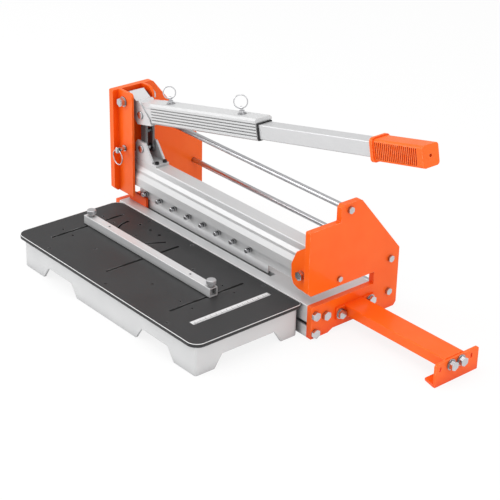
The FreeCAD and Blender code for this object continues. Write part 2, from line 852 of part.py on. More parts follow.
def table_body():
    height = base_height - board_thick
    body = box(table_left, table_right, table_front, table_back, 0, height)
    body = rounded_corners(body)
    near = edges_along(body, "z", lambda p: p.x > table_right - 1 and p.y < table_front + 1)
    body = body.makeFillet(table_near_round, near)
    wall = table_wall
    inside = box(table_left + wall, table_right - wall, table_front + wall, table_back - wall, -1, height + 1)
    inside = inside.makeFillet(table_round - wall, edges_along(inside, "z", lambda p: p.x < table_left + 10))
    body = body.cut(inside)
    for x in rib_places:
        rib = box(x - wall / 2, x + wall / 2, table_front + 1, table_back - 1, arch_height + 4, height)
        body = body.fuse(rib)
    ledge = box(table_left + 1, table_right - 1, table_front + 1, table_front + 12, height - 4, height)
    back_ledge = box(table_left + 30, table_right - 30, table_back - 12, table_back - 1, height - 4, height)
    body = body.fuse([ledge.common(corner_cut()), back_ledge]).removeSplitter()
    for span in front_arches:
        cut = prism("y", arch(*span), table_front - 1, table_front + wall + 12)
        body = body.cut(cut)
        cut = prism("y", arch(*span), table_back - wall - 1, table_back + 1)
        body = body.cut(cut)
    body = body.cut(prism("x", arch(*side_arch), table_left - 1, table_right + 1))
    for x, y in clip_places():
        body = body.cut(rod("y", 2.2, (x, table_back - 6, clip_height()), 8))
    for x, y in board_screw_places():
        body = body.cut(rod("z", 1.5, (x, y, height - 6), 7))
    return body


def corner_cut():
    return rounded_corners(box(table_left, table_right, table_front, table_back, 0, base_height))


def rounded_corners(body):
    body = body.makeFillet(table_round, edges_along(body, "z", lambda p: p.x < table_left + 1))
    hinge_corner = edges_along(body, "z", lambda p: p.x > table_right - 1 and p.y > table_back - 1)
    return body.makeFillet(table_hinge_round, hinge_corner)


def clip_places():
    return [(-120.0, table_back), (160.0, table_back)]


def clip_height():
    return groove_floor + groove_mouth / 2


def board_screw_places():
    """Screws that hold the board on the body's rim and ribs."""
    edge = [(-137.0, table_front + 6), (16.0, table_front + 6), (168.0, table_front + 6)]
    edge += [(x, table_back - 6) for x in (-119.0, -67.0, -7.0, 167.0)]
    edge += [(x, y) for x in rib_places for y in (-156.0, -78.0)]
    return edge


def table_board():
    low = base_height - board_thick
    body = box(board_left, board_right, board_front, board_back, low, base_height)
    hinge_corner = edges_along(body, "z", lambda p: p.x > board_right - 1 and p.y > board_back - 1)
    body = body.makeFillet(board_hinge_round, hinge_corner)
    sharp = edges_along(body, "z", lambda p: p.x < board_left + 1 or p.y < board_front + 1)
    body = body.makeFillet(board_round, sharp)
    rim = [e for e in body.Edges if e.CenterOfMass.z > base_height - 0.01]
    body = body.makeFillet(board_edge, rim)
    half = fence_slot_width / 2
    for x in fence_slots.values():
        slot = box(x - half, x + half, fence_slot_front, fence_slot_back, low - 1, base_height + 1)
        slot = slot.makeFillet(half - 0.1, edges_along(slot, "z", always))
        body = body.cut(slot)
    body = body.cut(angle_slot()).cut(mitre_slot())
    body = body.cut(ruler_blank(0))
    for x, y in board_screw_places():
        body = body.cut(rod("z", 1.5, (x, y, low - 1), board_thick + 2))
        body = body.cut(rod("z", board_screw_radius, (x, y, base_height - 1.6), 3))
    for x, y in guide_hole_places():
        body = body.cut(rod("z", 1.7, (x, y, base_height - 3), 4))
    for x, y in stop_hole_places:
        body = body.cut(rod("z", 2.6, (x, y, base_height - 2), 4))
    return body


def guide_hole_places():
    """Pairs of small holes beside the outer fence slots."""
    holes = []
    for name in ("left", "right"):
        for side in (-14.0, 14.0):
            for y in (-156.0, -76.0):
                holes.append((fence_slots[name] + side, y))
    return holes


def angle_slot():
    """Short curved slot behind the left fence slot, for setting the fence at an angle."""
    half = angle_slot_width / 2
    centre_x, centre_y = angle_slot_centre
    radius = angle_slot_radius
    depth = 3.0
    ring = rod("z", radius + half, (centre_x, centre_y, base_height - depth), depth + 1)
    ring = ring.cut(rod("z", radius - half, (centre_x, centre_y, base_height - depth - 1), depth + 3))
    reach = radius + 10
    points = [(centre_x, centre_y)]
    for degrees in angle_slot_sweep:
        turn = math.radians(degrees)
        points.append((centre_x + 1.4 * reach * math.cos(turn), centre_y + 1.4 * reach * math.sin(turn)))
    wedge = prism("z", points, base_height - depth - 1, base_height + 2)
    return ring.common(wedge)


def mitre_slot():
    """Short slanted slot beside the middle fence slot."""
    slot = box(0, 36.0, -1.9, 1.9, base_height - 3, base_height + 1)
    slot.rotate(Vec(0, 0, 0), AXES["z"], 62)
    slot.translate(Vec(-58, -85, 0))
    return slot


def ruler_blank(grow):
    half = ruler_width / 2
    return box(ruler_x - half, ruler_x + half, ruler_front, ruler_back, base_height - ruler_thick,
               base_height + grow)


def board_screw(x, y):
    head = rod("z", board_screw_radius - 0.1, (x, y, base_height - 1.6), 1.2)
    shank = rod("z", 1.5 - seat_gap, (x, y, base_height - board_thick - 5), board_thick + 4)
    return head.fuse(shank).removeSplitter()


def table_clip(x):
    """Stud with a flat head held in the base's groove, and a nut inside the table's back wall."""
    height = clip_height()
    head = box(x - 6, x + 6, base_front + groove_lip, base_front + groove_depth - 1.5, height - 5.5, height + 5.5)
    end = table_back - table_wall - 7
    stud = rod("y", 2.0, (x, end, height), base_front + groove_lip - end + 1)
    nut = hexagon("y", 7, (x, table_back - table_wall - 4, height), 4)
    return head.fuse([stud, nut]).removeSplitter()


def table_spacer(x):
    ring = rod("y", 4.5, (x, table_back, clip_height()), base_front - table_back)
    return ring.cut(rod("y", 2.2, (x, table_back - 1, clip_height()), base_front - table_back + 2))


def fence_bar():
    top = base_height + loose_gap + fence_size
    low = base_height + loose_gap
    body = box(fence_left, fence_right, fence_front, fence_front + fence_size, low, top)
    body = body.makeFillet(0.8, edges_along(body, "x", always))
    wall = fence_wall
    body = body.cut(box(fence_left - 1, fence_right + 1, fence_front + wall, fence_front + fence_size - wall,
                        low + wall, top - wall))
    for name in ("left", "right"):
        body = body.cut(rod("z", stud_radius + 0.1, (fence_slots[name], fence_y, low - 1), fence_size + 2))
    for x in (-117.0, 92.0):
        body = body.cut(rod("z", 2.0, (x, fence_y, top - wall - 1), wall + 2))
    return body


def fence_knob(x):
    top = base_height + loose_gap + fence_size
    low = top + knob_lift
    cap = rod("z", knob_radius, (x, fence_y, low), knob_height)
    rims = [e for e in cap.Edges if e.Closed and e.CenterOfMass.z > low + knob_height - 0.1]
    cap = cap.makeFillet(1.5, rims)
    for k in range(knob_flutes):
        turn = 2 * math.pi * k / knob_flutes
        place = (x + (knob_radius + 0.3) * math.cos(turn), fence_y + (knob_radius + 0.3) * math.sin(turn), low - 1)
        cap = cap.cut(rod("z", 0.75, place, knob_height - 0.6))
    neck = rod("z", 3.6, (x, fence_y, top + loose_gap / 2), low - top)
    stud_end = base_height - board_thick - nut_thick - 3
    stud = rod("z", stud_radius, (x, fence_y, stud_end), low - stud_end)
    return cap.fuse([neck, stud]).removeSplitter()


def fence_nut(x):
    high = base_height - board_thick - loose_gap
    nut = box(x - 6, x + 6, fence_y - 6, fence_y + 6, high - nut_thick, high)
    return nut.cut(rod("z", stud_radius + running_gap, (x, fence_y, high - nut_thick - 1), nut_thick + 2))


def outrigger_arm():
    start = right_inner + plate_thick
    end = start + arm_length
    top = arm_bottom + arm_height
    back = arm_front + arm_width
    sheet = arm_sheet
    body = box(start, end, arm_front, back, arm_bottom, top)
    body = body.makeFillet(2.0, edges_along(body, "x", lambda p: p.z > top - 1))
    body = body.cut(box(start + sheet, end - sheet, arm_front + sheet, back - sheet, arm_bottom - 1, top - sheet))
    front_tab = box(start, start + sheet, arm_front - arm_tab, arm_front, arm_bottom - 4, top)
    back_tab = box(start, start + sheet, back, back + arm_tab + 4, arm_bottom - 1, top)
    body = body.fuse([front_tab, back_tab]).removeSplitter()
    for y, z in arm_screws:
        body = body.cut(rod("x", screw_hole, (start - 1, y, z), sheet + 2))
    for y in foot_screws_y:
        body = body.cut(rod("x", screw_hole, (end - sheet - 1, y, foot_screws_z), sheet + 2))
    return body


def foot_plate():
    face = right_inner + plate_thick + arm_length
    back = foot_front + foot_width
    wall = box(face, face + foot_sheet, foot_front, back, 0, foot_height)
    wall = wall.makeFillet(4.0, edges_along(wall, "x", lambda p: p.z > foot_height - 1))
    toe = prism("z", [(face - foot_toe + foot_sheet, foot_front + 5), (face, foot_front), (face, back),
                      (face - foot_toe + foot_sheet, back - 5)], 0, foot_sheet)
    body = wall.fuse(toe).removeSplitter()
    for y in foot_screws_y:
        body = body.cut(rod("x", screw_hole, (face - 1, y, foot_screws_z), foot_sheet + 2))
    for y in (foot_front + 9, back - 15):
        slot = box(face - 1, face + foot_sheet + 1, y - 2, y + 2, foot_hole_z - 4, foot_hole_z + 4)
        slot = slot.makeFillet(1.9, edges_along(slot, "x", always))
        body = body.cut(slot)
    return body


def foot_screw(y):
    face = right_inner + plate_thick + arm_length
    out = face + foot_sheet
    ring = rod("x", washer_radius, (out, y, foot_screws_z), washer_thick)
    head = hexagon("x", head_across, (out + washer_thick, y, foot_screws_z), head_height + 1.5)
    shank = rod("x", screw_radius, (face - arm_sheet - 9, y, foot_screws_z), 9 + arm_sheet + foot_sheet + 2)
    nut = hexagon("x", foot_nut_across, (face - arm_sheet - 6, y, foot_screws_z), 6)
    return ring.fuse([head, shank, nut]).removeSplitter()


def group(pieces):
    return Part.makeCompound(pieces)


def save_frame():
    right = plate_outline(right_shoulder_height, right_step_y, right_top_height, right_top_back,
                          right_rear_height)
    left = plate_outline(left_top_height, plate_front, left_top_height, left_top_back, left_rear_height)
    right_plate = end_plate(right, right_inner, right_inner + plate_thick, right_top_back, right_top_height)
    right_plate = right_plate.cut(rod("x", ear_screw_radius() + 0.2,
                                      (right_inner - 1, ear_rear() + ear_thick / 2, ear_screw_z()),
                                      plate_thick + 2))
    save("right_end_plate", right_plate)
    save("left_end_plate", end_plate(left, left_inner - plate_thick, left_inner, left_top_back, left_top_height))
    save("base_extrusion", base_extrusion())
    save("cutting_strip", cutting_strip())
    save("blade_guide", blade_guide())
    for name, (y, z) in tie_rods.items():
        save(name, tie_rod(y, z))
    front = column_plate(column_front, column_right, 5.0)
    save("column_front_plate", front.cut(rod("y", lock_radius + running_gap,
                                             (lock_x, column_front - 1, lock_z), column_thick + 2)))
    save("column_rear_plate", column_plate(column_rear(), column_rear_right, column_rear_round))
    save("handle_pivot_bolt", handle_bolt())
    save("hinge_ear_front", ear(ear_front, False))
    save("hinge_ear_rear", ear(ear_rear(), True))
    save("beam_hinge_bolt", hinge_bolt())


def save_frame_screws():
    rods = []
    plates = []
    for side in (-1, 1):
        for y, z in tie_rods.values():
            rods.append(plate_screw(side, y, z, rod_screw_radius - seat_gap, small_across, small_height, False))
        for y, z in base_screws:
            plates.append(plate_screw(side, y, z, screw_radius - seat_gap, head_across, head_height, False))
    for y, z in arm_screws:
        plates.append(plate_screw(-1, y, z, screw_radius - seat_gap, head_across, head_height, False))
    save("tie_rod_screws", group(rods))
    save("base_screws", group(plates))
    flange = []
    for y, z in arm_screws:
        screw = plate_screw(1, y, z, screw_radius - seat_gap, head_across, head_height, True)
        screw.translate(Vec(arm_sheet, 0, 0))
        flange.append(screw)
    save("outrigger_screws", group(flange))
    y = ear_rear() + ear_thick / 2
    face = right_inner + plate_thick
    screw = hexagon("x", 8, (face, y, ear_screw_z()), 3.6)
    screw = screw.fuse(rod("x", ear_screw_radius() - seat_gap, (right_inner - 12, y, ear_screw_z()),
                           plate_thick + 13)).removeSplitter()
    save("hinge_ear_screw", screw)


def save_beam():
    save("beam_extrusion", beam_extrusion())
    save("beam_hinge_bush", hinge_bush())
    save("blade", blade())
    save("blade_screws", group([blade_screw(x) for x in blade_screw_places()]))
    save("blade_screw_nuts", group([blade_nut(x) for x in blade_screw_places()]))
    save("lift_bracket", lift_bracket())
    top = beam_top + bracket_thick
    screws = [socket_screw(bracket_screw_x, y, top, 2.0 - seat_gap, 3.6, 3.6, 14) for y in bracket_screw_rows()]
    save("bracket_screws", group(screws))
    save("link_lower_pin", cross_pin(link_foot_x, link_foot_z, bracket_half, link_pin_radius - seat_gap,
                                     link_pin_radius + 2.4, 2.2))


def save_handle():
    save("link", link())
    save("handle_head", handle_head())
    save("handle_pivot_bush", handle_bush())
    save("link_upper_pin", handle_link_pin())
    save("handle_sleeve", handle_sleeve())
    save("sleeve_collar", sleeve_collar())
    save("handle_tube", handle_tube())
    save("handle_grip", handle_grip())
    for name, u in ring_pins.items():
        save(name + "_ring_pin", ring_pin(u))
        save(name + "_pull_ring", pull_ring(u, ring_radii[name]))
    save("lock_pin", lock_pin())
    save("lock_pull_ring", lock_ring())


def save_table():
    save("table_body", table_body())
    save("table_board", table_board())
    save("ruler_strip", ruler_blank(0))
    save("board_screws", group([board_screw(x, y) for x, y in board_screw_places()]))
    save("table_clips", group([table_clip(x) for x, y in clip_places()]))
    save("table_spacers", group([table_spacer(x) for x, y in clip_places()]))
    save("fence_bar", fence_bar())
    for name in ("left", "right"):
        save("fence_knob_" + name, fence_knob(fence_slots[name]))
    save("fence_nuts", group([fence_nut(fence_slots[name]) for name in ("left", "right")]))


def save_outrigger():
    save("outrigger_arm", outrigger_arm())
    save("outrigger_foot", foot_plate())
    save("foot_screws", group([foot_screw(y) for y in foot_screws_y]))


os.makedirs("parts", exist_ok=True)
save_frame()
save_frame_screws()
save_beam()
save_handle()
save_table()
save_outrigger()
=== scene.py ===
import bpy
import bmesh
import json
import math
from mathutils import Matrix, Vector


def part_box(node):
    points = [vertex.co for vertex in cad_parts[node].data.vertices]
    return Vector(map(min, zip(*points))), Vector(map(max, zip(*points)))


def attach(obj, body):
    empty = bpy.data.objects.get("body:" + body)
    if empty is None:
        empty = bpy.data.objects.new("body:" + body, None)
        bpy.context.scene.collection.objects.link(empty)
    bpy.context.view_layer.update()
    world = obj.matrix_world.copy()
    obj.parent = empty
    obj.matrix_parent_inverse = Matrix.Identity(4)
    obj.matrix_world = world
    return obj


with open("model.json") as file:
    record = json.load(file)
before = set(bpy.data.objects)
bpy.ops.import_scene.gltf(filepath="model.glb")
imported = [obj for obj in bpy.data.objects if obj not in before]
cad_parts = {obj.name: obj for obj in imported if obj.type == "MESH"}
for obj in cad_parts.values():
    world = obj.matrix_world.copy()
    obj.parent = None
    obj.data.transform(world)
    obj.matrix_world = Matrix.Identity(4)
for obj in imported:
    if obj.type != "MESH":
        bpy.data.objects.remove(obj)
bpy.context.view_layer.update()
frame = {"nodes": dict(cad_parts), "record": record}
nodes = frame["nodes"]
print("frame loaded", len(nodes), "nodes")


# small helpers for node trees
def addNode(tree, kind, place, **values):
    node = tree.nodes.new(kind)
    node.location = place
    for key, value in values.items():
        setattr(node, key, value)
    return node


def join(tree, source, target):
    tree.links.new(source, target)


def newGroup(name, inputs, outputs):
    tree = bpy.data.node_groups.new(name, "ShaderNodeTree")
    for label, value in inputs:
        socket = tree.interface.new_socket(name=label, in_out="INPUT", socket_type="NodeSocketFloat")
        socket.default_value = value
    for label in outputs:
        tree.interface.new_socket(name=label, in_out="OUTPUT", socket_type="NodeSocketFloat")
    source = addNode(tree, "NodeGroupInput", (-900, 0))
    sink = addNode(tree, "NodeGroupOutput", (900, 0))
    return tree, source, sink


def noise(tree, place, vector, scale, detail=2.0, roughness=0.5):
    node = addNode(tree, "ShaderNodeTexNoise", place)
    node.inputs["Detail"].default_value = detail
    node.inputs["Roughness"].default_value = roughness
    if vector is not None:
        join(tree, vector, node.inputs["Vector"])
    if isinstance(scale, (int, float)):
        node.inputs["Scale"].default_value = scale
    else:
        join(tree, scale, node.inputs["Scale"])
    return node.outputs["Fac"]


def mapped(tree, place, value, fromLow, fromHigh, toLow, toHigh):
    node = addNode(tree, "ShaderNodeMapRange", place)
    join(tree, value, node.inputs["Value"])
    limits = {"From Min": fromLow, "From Max": fromHigh, "To Min": toLow, "To Max": toHigh}
    for label, limit in limits.items():
        node.inputs[label].default_value = limit
    return node.outputs["Result"]


def maths(tree, place, operation, first, second):
    node = addNode(tree, "ShaderNodeMath", place, operation=operation)
    for socket, value in zip(node.inputs, (first, second)):
        if isinstance(value, (int, float)):
            socket.default_value = value
        else:
            join(tree, value, socket)
    return node.outputs[0]


# the bumpy skin of a sprayed or moulded surface: fine cells over a slow wave
def buildSkinGroup():
    tree, source, sink = newGroup("sprayedSkin", [("Cells", 700.0), ("Wave", 30.0)], ["Height", "Tone"])
    coords = addNode(tree, "ShaderNodeTexCoord", (-900, 300)).outputs["Object"]
    cells = noise(tree, (-600, 200), coords, source.outputs["Cells"], 3.0, 0.6)
    wave = noise(tree, (-600, -200), coords, source.outputs["Wave"], 2.0, 0.5)
    mixed = maths(tree, (-200, 200), "ADD", cells, maths(tree, (-400, 0), "MULTIPLY", wave, 0.35))
    join(tree, mixed, sink.inputs["Height"])
    join(tree, mapped(tree, (-200, -200), wave, 0.3, 0.7, 0.0, 1.0), sink.inputs["Tone"])
    return tree


# rubbed edges and painted edge highlight: where a softened normal leaves the flat one, broken up by noise,
# the colour turns lighter, partly as wear and partly as the light line an edge catches
def buildEdgeGroup():
    tree, source, sink = newGroup("rubbedEdgesAndHighlight", [("Patches", 120.0)], ["Mask"])
    bevel = addNode(tree, "ShaderNodeBevel", (-700, 200), samples=4)
    bevel.inputs["Radius"].default_value = 0.0007
    flat = addNode(tree, "ShaderNodeNewGeometry", (-700, 0))
    dot = addNode(tree, "ShaderNodeVectorMath", (-500, 100), operation="DOT_PRODUCT")
    join(tree, bevel.outputs["Normal"], dot.inputs[0])
    join(tree, flat.outputs["Normal"], dot.inputs[1])
    edge = mapped(tree, (-300, 100), dot.outputs["Value"], 0.995, 0.90, 0.0, 1.0)
    coords = addNode(tree, "ShaderNodeTexCoord", (-900, -300)).outputs["Object"]
    spots = noise(tree, (-600, -300), coords, source.outputs["Patches"], 4.0, 0.65)
    broken = mapped(tree, (-300, -300), spots, 0.42, 0.62, 0.0, 1.0)
    join(tree, maths(tree, (0, 0), "MULTIPLY", edge, broken), sink.inputs["Mask"])
    return tree


# long lines left by the die or the grinding belt, along X before Tilt turns them about Y
def buildLinesGroup():
    inputs = [("Across", 900.0), ("Along", 6.0), ("Tilt", 0.0)]
    tree, source, sink = newGroup("drawnLines", inputs, ["Height", "Tone"])
    coords = addNode(tree, "ShaderNodeTexCoord", (-1100, 300)).outputs["Object"]
    turn = addNode(tree, "ShaderNodeVectorRotate", (-900, 300), rotation_type="Y_AXIS")
    join(tree, coords, turn.inputs["Vector"])
    join(tree, source.outputs["Tilt"], turn.inputs["Angle"])
    stretch = addNode(tree, "ShaderNodeVectorMath", (-500, 300), operation="MULTIPLY")
    scales = addNode(tree, "ShaderNodeCombineXYZ", (-700, 100))
    join(tree, source.outputs["Along"], scales.inputs["X"])
    join(tree, source.outputs["Across"], scales.inputs["Y"])
    join(tree, source.outputs["Across"], scales.inputs["Z"])
    join(tree, turn.outputs["Vector"], stretch.inputs[0])
    join(tree, scales.outputs["Vector"], stretch.inputs[1])
    fine = noise(tree, (-300, 300), stretch.outputs["Vector"], 1.0, 4.0, 0.7)
    broad = noise(tree, (-300, 0), stretch.outputs["Vector"], 0.12, 2.0, 0.5)
    join(tree, fine, sink.inputs["Height"])
    join(tree, maths(tree, (0, 0), "ADD", maths(tree, (-100, 100), "MULTIPLY", fine, 0.5),
                     maths(tree, (-100, -100), "MULTIPLY", broad, 0.5)), sink.inputs["Tone"])
    return tree


# settled dust: on faces that look up, in soft patches
def buildDustGroup():
    tree, source, sink = newGroup("settledDust", [("Patches", 14.0)], ["Mask"])
    geometry = addNode(tree, "ShaderNodeNewGeometry", (-700, 200))
    parts = addNode(tree, "ShaderNodeSeparateXYZ", (-500, 200))
    join(tree, geometry.outputs["Normal"], parts.inputs[0])
    facing = mapped(tree, (-300, 200), parts.outputs["Z"], 0.6, 1.0, 0.0, 1.0)
    coords = addNode(tree, "ShaderNodeTexCoord", (-900, -200)).outputs["Object"]
    patches = noise(tree, (-500, -200), coords, source.outputs["Patches"], 5.0, 0.6)
    soft = mapped(tree, (-300, -200), patches, 0.40, 0.75, 0.0, 1.0)
    join(tree, maths(tree, (0, 0), "MULTIPLY", facing, soft), sink.inputs["Mask"])
    return tree


# painted shade: deep corners and grooves, where little light reaches, get a darker colour painted in
def buildCornerShadeGroup():
    tree, source, sink = newGroup("paintedCornerShade", [("Reach", 0.012)], ["Mask"])
    cover = addNode(tree, "ShaderNodeAmbientOcclusion", (-400, 0), samples=6)
    join(tree, source.outputs["Reach"], cover.inputs["Distance"])
    join(tree, mapped(tree, (0, 0), cover.outputs["AO"], 0.85, 0.25, 0.0, 1.0), sink.inputs["Mask"])
    return tree


skinGroup = buildSkinGroup()
edgeGroup = buildEdgeGroup()
linesGroup = buildLinesGroup()
dustGroup = buildDustGroup()
cornerShadeGroup = buildCornerShadeGroup()
print("shared groups built")


def place(tree, group, where, **values):
    node = addNode(tree, "ShaderNodeGroup", where, node_tree=group)
    for label, value in values.items():
        node.inputs[label].default_value = value
    return node


def startMaterial(name, look):
    material = bpy.data.materials.new(name)
    material.use_nodes = True
    tree = material.node_tree
    surface = tree.nodes["Principled BSDF"]
    surface.inputs["Metallic"].default_value = look.get("metal", 0.0)
    surface.inputs["Roughness"].default_value = look["rough"]
    surface.inputs["Specular IOR Level"].default_value = look.get("specular", 0.5)
    surface.inputs["Coat Weight"].default_value = look.get("coat", 0.0)
    surface.inputs["Coat Roughness"].default_value = look.get("coatRough", 0.2)
    material.diffuse_color = (*look["color"], 1.0)
    return material, tree, surface


def blendColors(tree, where, factor, first, second):
    node = addNode(tree, "ShaderNodeMix", where, data_type="RGBA")
    join(tree, factor, node.inputs["Factor"])
    for label, value in ((6, first), (7, second)):
        if isinstance(value, tuple):
            node.inputs[label].default_value = (*value, 1.0)
        else:
            join(tree, value, node.inputs[label])
    return node.outputs[2]


def bump(tree, surface, height, depth, strength=1.0):
    node = addNode(tree, "ShaderNodeBump", (500, -300))
    node.inputs["Strength"].default_value = strength
    node.inputs["Distance"].default_value = depth
    join(tree, height, node.inputs["Height"])
    join(tree, node.outputs["Normal"], surface.inputs["Normal"])


# sprayed or moulded finishes: skin bump, slow change of tone, rubbed edges with a painted edge highlight, a
# little dust, painted shade in deep corners
def skinMaterial(name, look):
    material, tree, surface = startMaterial(name, look)
    skin = place(tree, skinGroup, (-700, 0), Cells=look["cells"], Wave=look["wave"])
    edges = place(tree, edgeGroup, (-700, -250), Patches=look["patches"])
    dust = place(tree, dustGroup, (-700, -450), Patches=look["dustPatches"])
    base = blendColors(tree, (-400, 200), skin.outputs["Tone"], look["color"], look["second"])
    # rubbed edges and painted edge highlight: the edge mask lightens the colour
    wearAndHighlight = maths(tree, (-400, -200), "MULTIPLY", edges.outputs["Mask"], look["wearAndHighlight"])
    wornAndHighlight = blendColors(tree, (-200, 200), wearAndHighlight, base, look["wornAndHighlight"])
    veil = maths(tree, (-400, -450), "MULTIPLY", dust.outputs["Mask"], look["dust"])
    dusty = blendColors(tree, (0, 200), veil, wornAndHighlight, look["dustColor"])
    # painted shade: deep corners and grooves are darkened in the base colour
    paintedShade = place(tree, cornerShadeGroup, (-700, -650), Reach=look["reach"])
    shade = maths(tree, (-400, -650), "MULTIPLY", paintedShade.outputs["Mask"], look["paintedShadeStrength"])
    join(tree, blendColors(tree, (200, 200), shade, dusty, look["paintedShade"]), surface.inputs["Base Color"])
    rough = mapped(tree, (-200, -100), skin.outputs["Tone"], 0.0, 1.0, look["rough"],
                   look["rough"] + look["roughSpan"])
    join(tree, maths(tree, (0, -100), "ADD", rough, maths(tree, (-200, -450), "MULTIPLY", veil, 0.3)),
         surface.inputs["Roughness"])
    bump(tree, surface, skin.outputs["Height"], look["depth"])
    return material


# metals with a direction: drawn lines in the bump, the tone and the roughness
def metalMaterial(name, look):
    material, tree, surface = startMaterial(name, look)
    lines = place(tree, linesGroup, (-700, 0), Across=look["across"], Along=look["along"],
                  Tilt=look.get("tilt", 0.0))
    skin = place(tree, skinGroup, (-700, -250), Cells=look.get("cells", 300.0), Wave=look.get("wave", 18.0))
    edges = place(tree, edgeGroup, (-700, -500), Patches=90.0)
    base = blendColors(tree, (-400, 200), lines.outputs["Tone"], look["second"], look["color"])
    tarnish = maths(tree, (-400, -100), "MULTIPLY", skin.outputs["Tone"], look.get("tarnish", 0.15))
    stained = blendColors(tree, (-200, 200), tarnish, base, look["stain"])
    # rubbed edges and painted edge highlight: the edge mask lightens the colour
    bright = maths(tree, (-400, -500), "MULTIPLY", edges.outputs["Mask"], look.get("wearAndHighlight", 0.3))
    polishedAndHighlit = blendColors(tree, (0, 200), bright, stained, look["wornAndHighlight"])
    # painted shade: deep corners and grooves are darkened in the base colour
    paintedShade = place(tree, cornerShadeGroup, (-700, -750), Reach=look.get("reach", 0.008))
    shade = maths(tree, (-400, -750), "MULTIPLY", paintedShade.outputs["Mask"], look.get("paintedShadeStrength", 0.6))
    join(tree, blendColors(tree, (200, 200), shade, polishedAndHighlit, look.get("paintedShade", (0.16, 0.16, 0.165))),
         surface.inputs["Base Color"])
    rough = mapped(tree, (-400, -300), lines.outputs["Tone"], 0.3, 0.7, look["rough"] - look["roughSpan"],
                   look["rough"] + look["roughSpan"])
    join(tree, maths(tree, (-100, -300), "ADD", rough, maths(tree, (-250, -400), "MULTIPLY", tarnish, 0.4)),
         surface.inputs["Roughness"])
    bump(tree, surface, lines.outputs["Height"], look["depth"], look.get("bump", 0.6))
    return material


# In the looks below, the darkest colour and its share are painted shade for corners and grooves, and the edge
# colour and its share stand for rubbed edges together with a painted edge highlight.
orangePaint = {
    "color": (1.0, 0.138, 0.007), "second": (0.98, 0.124, 0.004), "wornAndHighlight": (1.0, 0.52, 0.26),
    "rough": 0.34, "roughSpan": 0.08, "specular": 0.18, "coat": 0.22, "coatRough": 0.10,
    "cells": 1100.0, "wave": 26.0, "depth": 0.00005,
    "patches": 160.0, "wearAndHighlight": 0.8, "dust": 0.03, "dustPatches": 22.0, "dustColor": (1.0, 0.34, 0.14),
    "reach": 0.03, "paintedShadeStrength": 0.85, "paintedShade": (0.80, 0.035, 0.0),
}
bodyPlastic = {
    "color": (0.64, 0.643, 0.645), "second": (0.60, 0.603, 0.607), "wornAndHighlight": (0.80, 0.80, 0.80),
    "rough": 0.42, "roughSpan": 0.10, "specular": 0.35, "cells": 1700.0, "wave": 14.0, "depth": 0.00004,
    "patches": 140.0, "wearAndHighlight": 0.5, "dust": 0.08, "dustPatches": 18.0, "dustColor": (0.70, 0.69, 0.68),
    "reach": 0.02, "paintedShadeStrength": 0.6, "paintedShade": (0.30, 0.30, 0.31),
}
boardPlastic = {
    "color": (0.026, 0.026, 0.027), "second": (0.036, 0.036, 0.037), "wornAndHighlight": (0.85, 0.85, 0.86),
    "rough": 0.44, "roughSpan": 0.14, "specular": 0.32, "cells": 900.0, "wave": 16.0, "depth": 0.00022,
    "patches": 40.0, "wearAndHighlight": 0.8, "dust": 0.07, "dustPatches": 12.0, "dustColor": (0.12, 0.12, 0.12),
    "reach": 0.006, "paintedShadeStrength": 0.9, "paintedShade": (0.004, 0.004, 0.004),
}
blackPlastic = {
    "color": (0.018, 0.018, 0.019), "second": (0.024, 0.024, 0.025), "wornAndHighlight": (0.10, 0.10, 0.10),
    "rough": 0.40, "roughSpan": 0.10, "specular": 0.4, "cells": 1500.0, "wave": 40.0, "depth": 0.00004,
    "patches": 180.0, "wearAndHighlight": 0.5, "dust": 0.10, "dustPatches": 60.0, "dustColor": (0.10, 0.10, 0.10),
    "reach": 0.006, "paintedShadeStrength": 0.6, "paintedShade": (0.004, 0.004, 0.004),
}
gripPlastic = dict(
    orangePaint, color=(1.0, 0.150, 0.012), second=(0.97, 0.135, 0.010), wornAndHighlight=(1.0, 0.58, 0.30), rough=0.46,
    cells=2000.0, wave=34.0, depth=0.00006, reach=0.004, paintedShadeStrength=0.95, paintedShade=(0.55, 0.010, 0.0))
extrudedAluminium = {
    "color": (0.76, 0.762, 0.765), "second": (0.66, 0.663, 0.668), "stain": (0.55, 0.555, 0.56),
    "wornAndHighlight": (0.95, 0.95, 0.95), "metal": 0.40, "rough": 0.40, "roughSpan": 0.08,
    "across": 1500.0, "along": 5.0, "depth": 0.00004, "tarnish": 0.10,
    "reach": 0.010, "paintedShadeStrength": 0.85, "paintedShade": (0.05, 0.05, 0.052),
}
# the drawn lines follow the handle, which slopes up from X
handleTilt = -math.radians(12.0)
sleeveAluminium = dict(
    extrudedAluminium, tilt=handleTilt, across=1300.0, metal=0.35, reach=0.003, paintedShadeStrength=0.8)
tubeAluminium = dict(
    extrudedAluminium, tilt=handleTilt, color=(0.72, 0.72, 0.725), second=(0.62, 0.62, 0.63),
    rough=0.34, metal=0.5)
bladeSteel = {
    "color": (0.90, 0.90, 0.905), "second": (0.80, 0.80, 0.81), "stain": (0.60, 0.60, 0.62),
    "wornAndHighlight": (0.97, 0.97, 0.97), "metal": 0.25, "rough": 0.34, "roughSpan": 0.08,
    "across": 900.0, "along": 60.0, "depth": 0.00003, "tarnish": 0.15,
    "reach": 0.005, "paintedShadeStrength": 1.0, "paintedShade": (0.02, 0.02, 0.02),
}
screwSteel = {
    "color": (0.72, 0.72, 0.73), "second": (0.55, 0.55, 0.57), "stain": (0.36, 0.36, 0.38),
    "wornAndHighlight": (0.97, 0.97, 0.97), "metal": 1.0, "rough": 0.17, "roughSpan": 0.06,
    "across": 700.0, "along": 300.0, "depth": 0.00003, "tarnish": 0.35,
    "wave": 60.0, "paintedShadeStrength": 0.9, "paintedShade": (0.05, 0.05, 0.05), "reach": 0.006,
}
rodSteel = dict(
    screwSteel, color=(0.66, 0.66, 0.67), second=(0.50, 0.50, 0.52), rough=0.24, across=1100.0, along=10.0)
